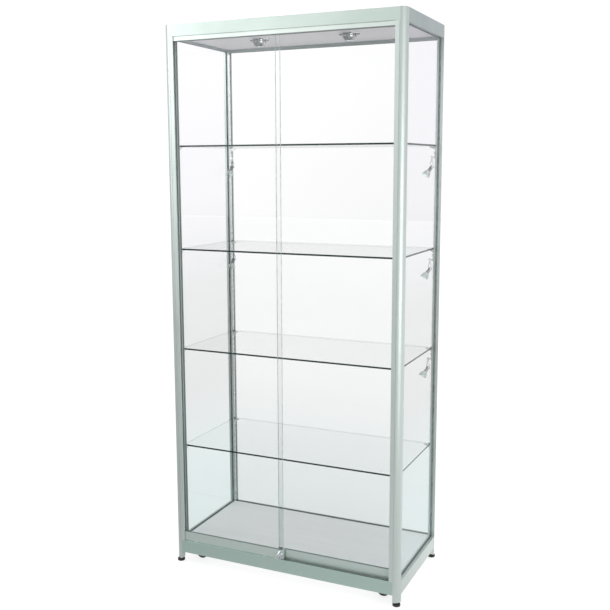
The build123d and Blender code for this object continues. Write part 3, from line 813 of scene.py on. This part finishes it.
for corner, (side_x, side_y) in CORNERS.items():
    wheel = "castor_wheel_" + corner
    place = (place_at(side_x * CASTOR_X, side_y * CASTOR_Y, WHEEL_RADIUS)
             @ Matrix.Rotation(math.pi / 2, 4, "X"))
    add_turned("castor_tread_" + corner, mirrored(HALF_TREAD), place, 72, "castor_rubber", wheel,
               "castor_tread", replaces=wheel)
    bm = bmesh.new()
    lathe(bm, mirrored(HALF_HUB), place, 60)
    # six ribs on each face of the web
    for k in range(6):
        turned = place @ Matrix.Rotation(math.pi * k / 3, 4, "Z")
        for start, end in ((4.0, 6.0), (-6.0, -4.0)):
            prism(bm, RIB, "z", start, end, turned)
    add_piece("castor_hub_" + corner, bm, "castor_hub", wheel, "castor_tread")
    # axle nuts
    bm = bmesh.new()
    hexagon = [(NUT_RADIUS * math.cos(math.pi * k / 3), NUT_RADIUS * math.sin(math.pi * k / 3))
               for k in range(6)]
    for end in (-1, 1):
        prism(bm, hexagon, "z", end * NUT_START, end * NUT_END, place)
    add_piece("castor_nuts_" + corner, bm, "zinc_steel", "castor_fork_" + corner, "zinc_steel",
              bevel=0.3)

# ------------------------------------------------------------------ floor
FLOOR_SIZE, FLOOR_CELLS = 40.0, 24         # metres


def floor_material(name):
    mat = Material(name)
    mottle = mat.noise(0.8, 2.0, 0.5)
    grey = mat.principled(mat.ramp(mottle, [(0.3, 0.235), (0.7, 0.25)]), 0.6, specular=0.1)
    glow = mat.emission((1, 1, 1), 0.8)
    lit = mat.node("AddShader", {0: grey, 1: glow}).outputs[0]
    # reflections see a plain glowing floor, dimmer to the front and left
    x, y, _ = mat.axes(mat.node("NewGeometry").outputs["Position"])
    depth = mat.math("ADD", mat.remap(y, (-0.35, 0.25), (0.62, 1.0)),
                     mat.remap(y, (-1.2, -3.0), (0.0, 0.04)))
    level = mat.math("MULTIPLY", depth, mat.remap(x, (-1.0, 0.3), (0.62, 1.0)))
    is_glossy = mat.node("LightPath").outputs["Is Glossy Ray"]
    mat.finish(mat.mix_shader(is_glossy, lit, mat.emission((1, 1, 1), level)))


def make_floor():
    bm = bmesh.new()
    steps = [(i / FLOOR_CELLS - 0.5) * FLOOR_SIZE for i in range(FLOOR_CELLS + 1)]
    rows = [[bm.verts.new((x, y, 0.0)) for y in steps] for x in steps]
    for row, following in zip(rows, rows[1:]):
        for j in range(FLOOR_CELLS):
            bm.faces.new((row[j], following[j], following[j + 1], row[j + 1]))
    mesh = bpy.data.meshes.new("floor")
    bm.to_mesh(mesh)
    bm.free()
    obj = bpy.data.objects.new("floor", mesh)
    scene.collection.objects.link(obj)
    floor_material("studio_floor")
    mesh.materials.append(MATERIALS["studio_floor"])


make_floor()


# ------------------------------------------------------------------ world
def make_world():
    """White for the camera, a soft studio for light, another for reflections."""
    world = bpy.data.worlds.new("studio")
    scene.world = world
    world.use_nodes = True
    sky = Graph(world.node_tree, "OutputWorld")
    rays = sky.node("LightPath").outputs
    x, y, z = sky.axes(sky.node("TexCoord").outputs["Generated"])

    def fade(value, source, target):
        return sky.remap(value, source, target, "SMOOTHSTEP")

    def add(first, second):
        return sky.math("ADD", first, second)

    def multiply(first, second):
        return sky.math("MULTIPLY", first, second)

    # diffuse light
    right = fade(x, (-0.2, 0.95), (0.0, 0.55))        # bright bank on the right
    overhead = fade(z, (0.1, 0.9), (0.0, 0.35))
    front_dim = fade(y, (-0.9, 0.3), (-0.12, 0.0))    # the front of the room is dimmer
    ambient = add(add(0.78, right), add(overhead, front_dim))
    diffuse = sky.node("Background", {"Color": (0.985, 1.0, 0.995), "Strength": ambient})

    # reflections: a dark band high up
    band = multiply(fade(z, (0.60, 0.70), (0.0, 1.0)), fade(z, (0.82, 0.92), (1.0, 0.0)))
    # the front of the room, darker towards the floor, with a bright bank at the left
    is_front = fade(y, (-0.35, -0.65), (0.0, 1.0))
    rise = fade(z, (-0.02, 0.14), (0.52, 1.0))
    bank = add(fade(x, (0.30, -0.10), (0.74, 0.9)), fade(x, (-0.31, -0.53), (0.0, 2.6)))
    front = multiply(rise, add(bank, fade(z, (0.0, 0.12), (0.25, 0.0))))
    # elsewhere even, slightly dimmer at the far right
    rest = add(1.0, fade(x, (0.55, 0.85), (0.0, -0.2)))
    room = add(multiply(front, is_front), multiply(rest, sky.math("SUBTRACT", 1.0, is_front)))
    level = sky.math("SUBTRACT", room, multiply(band, 0.6))
    glossy = sky.node("Background", {"Strength": level})

    backdrop = sky.node("Background", {"Color": (1, 1, 1), "Strength": 1.05})
    light = sky.mix_shader(rays["Is Glossy Ray"], diffuse.outputs[0], glossy.outputs[0])
    surface = sky.mix_shader(rays["Is Camera Ray"], light, backdrop.outputs[0])
    sky.feed(sky.output.inputs["Surface"], surface)


make_world()


# ------------------------------------------------------------------ lights
def softbox(name, location, target, size, power):
    light = bpy.data.lights.new(name, "AREA")
    light.shape = "RECTANGLE"
    light.size, light.size_y = size
    light.energy = power
    obj = bpy.data.objects.new(name, light)
    scene.collection.objects.link(obj)
    obj.location = location
    aim = (Vector(target) - Vector(location)).normalized()
    obj.rotation_euler = aim.to_track_quat("-Z", "Y").to_euler()
    obj.visible_camera = False


softbox("softbox_right", location=(3.1, -2.3, 1.0), target=(0, 0, 0.9), size=(2.2, 2.2), power=40)
softbox("softbox_left", location=(-3.0, -2.6, 2.4), target=(0, 0, 1.0), size=(1.8, 2.2), power=18)

# ------------------------------------------------------------------ camera
CAMERA_PLACE = (1.3321, -2.9225, 1.5108)
YAW, PITCH, ROLL = 0.429, -0.149, -0.003   # radians


def make_camera():
    forward = Vector((-math.sin(YAW) * math.cos(PITCH), math.cos(YAW) * math.cos(PITCH),
                      math.sin(PITCH)))
    level_right = Vector((math.cos(YAW), math.sin(YAW), 0.0))
    level_up = level_right.cross(forward)
    right = level_right * math.cos(ROLL) + level_up * math.sin(ROLL)
    up = -level_right * math.sin(ROLL) + level_up * math.cos(ROLL)
    camera = bpy.data.cameras.new("camera")
    obj = bpy.data.objects.new("camera", camera)
    scene.collection.objects.link(obj)
    rows = [(right[i], up[i], -forward[i], CAMERA_PLACE[i]) for i in range(3)]
    obj.matrix_world = Matrix((*rows, (0, 0, 0, 1)))
    camera.sensor_width = 36.0
    camera.lens = 51.598033
    camera.shift_x = 6.557377e-5
    camera.shift_y = -0.014409836
    camera.clip_end = 100.0
    scene.camera = obj


make_camera()
scene.view_settings.view_transform = "Standard"
scene.view_settings.look = "None"
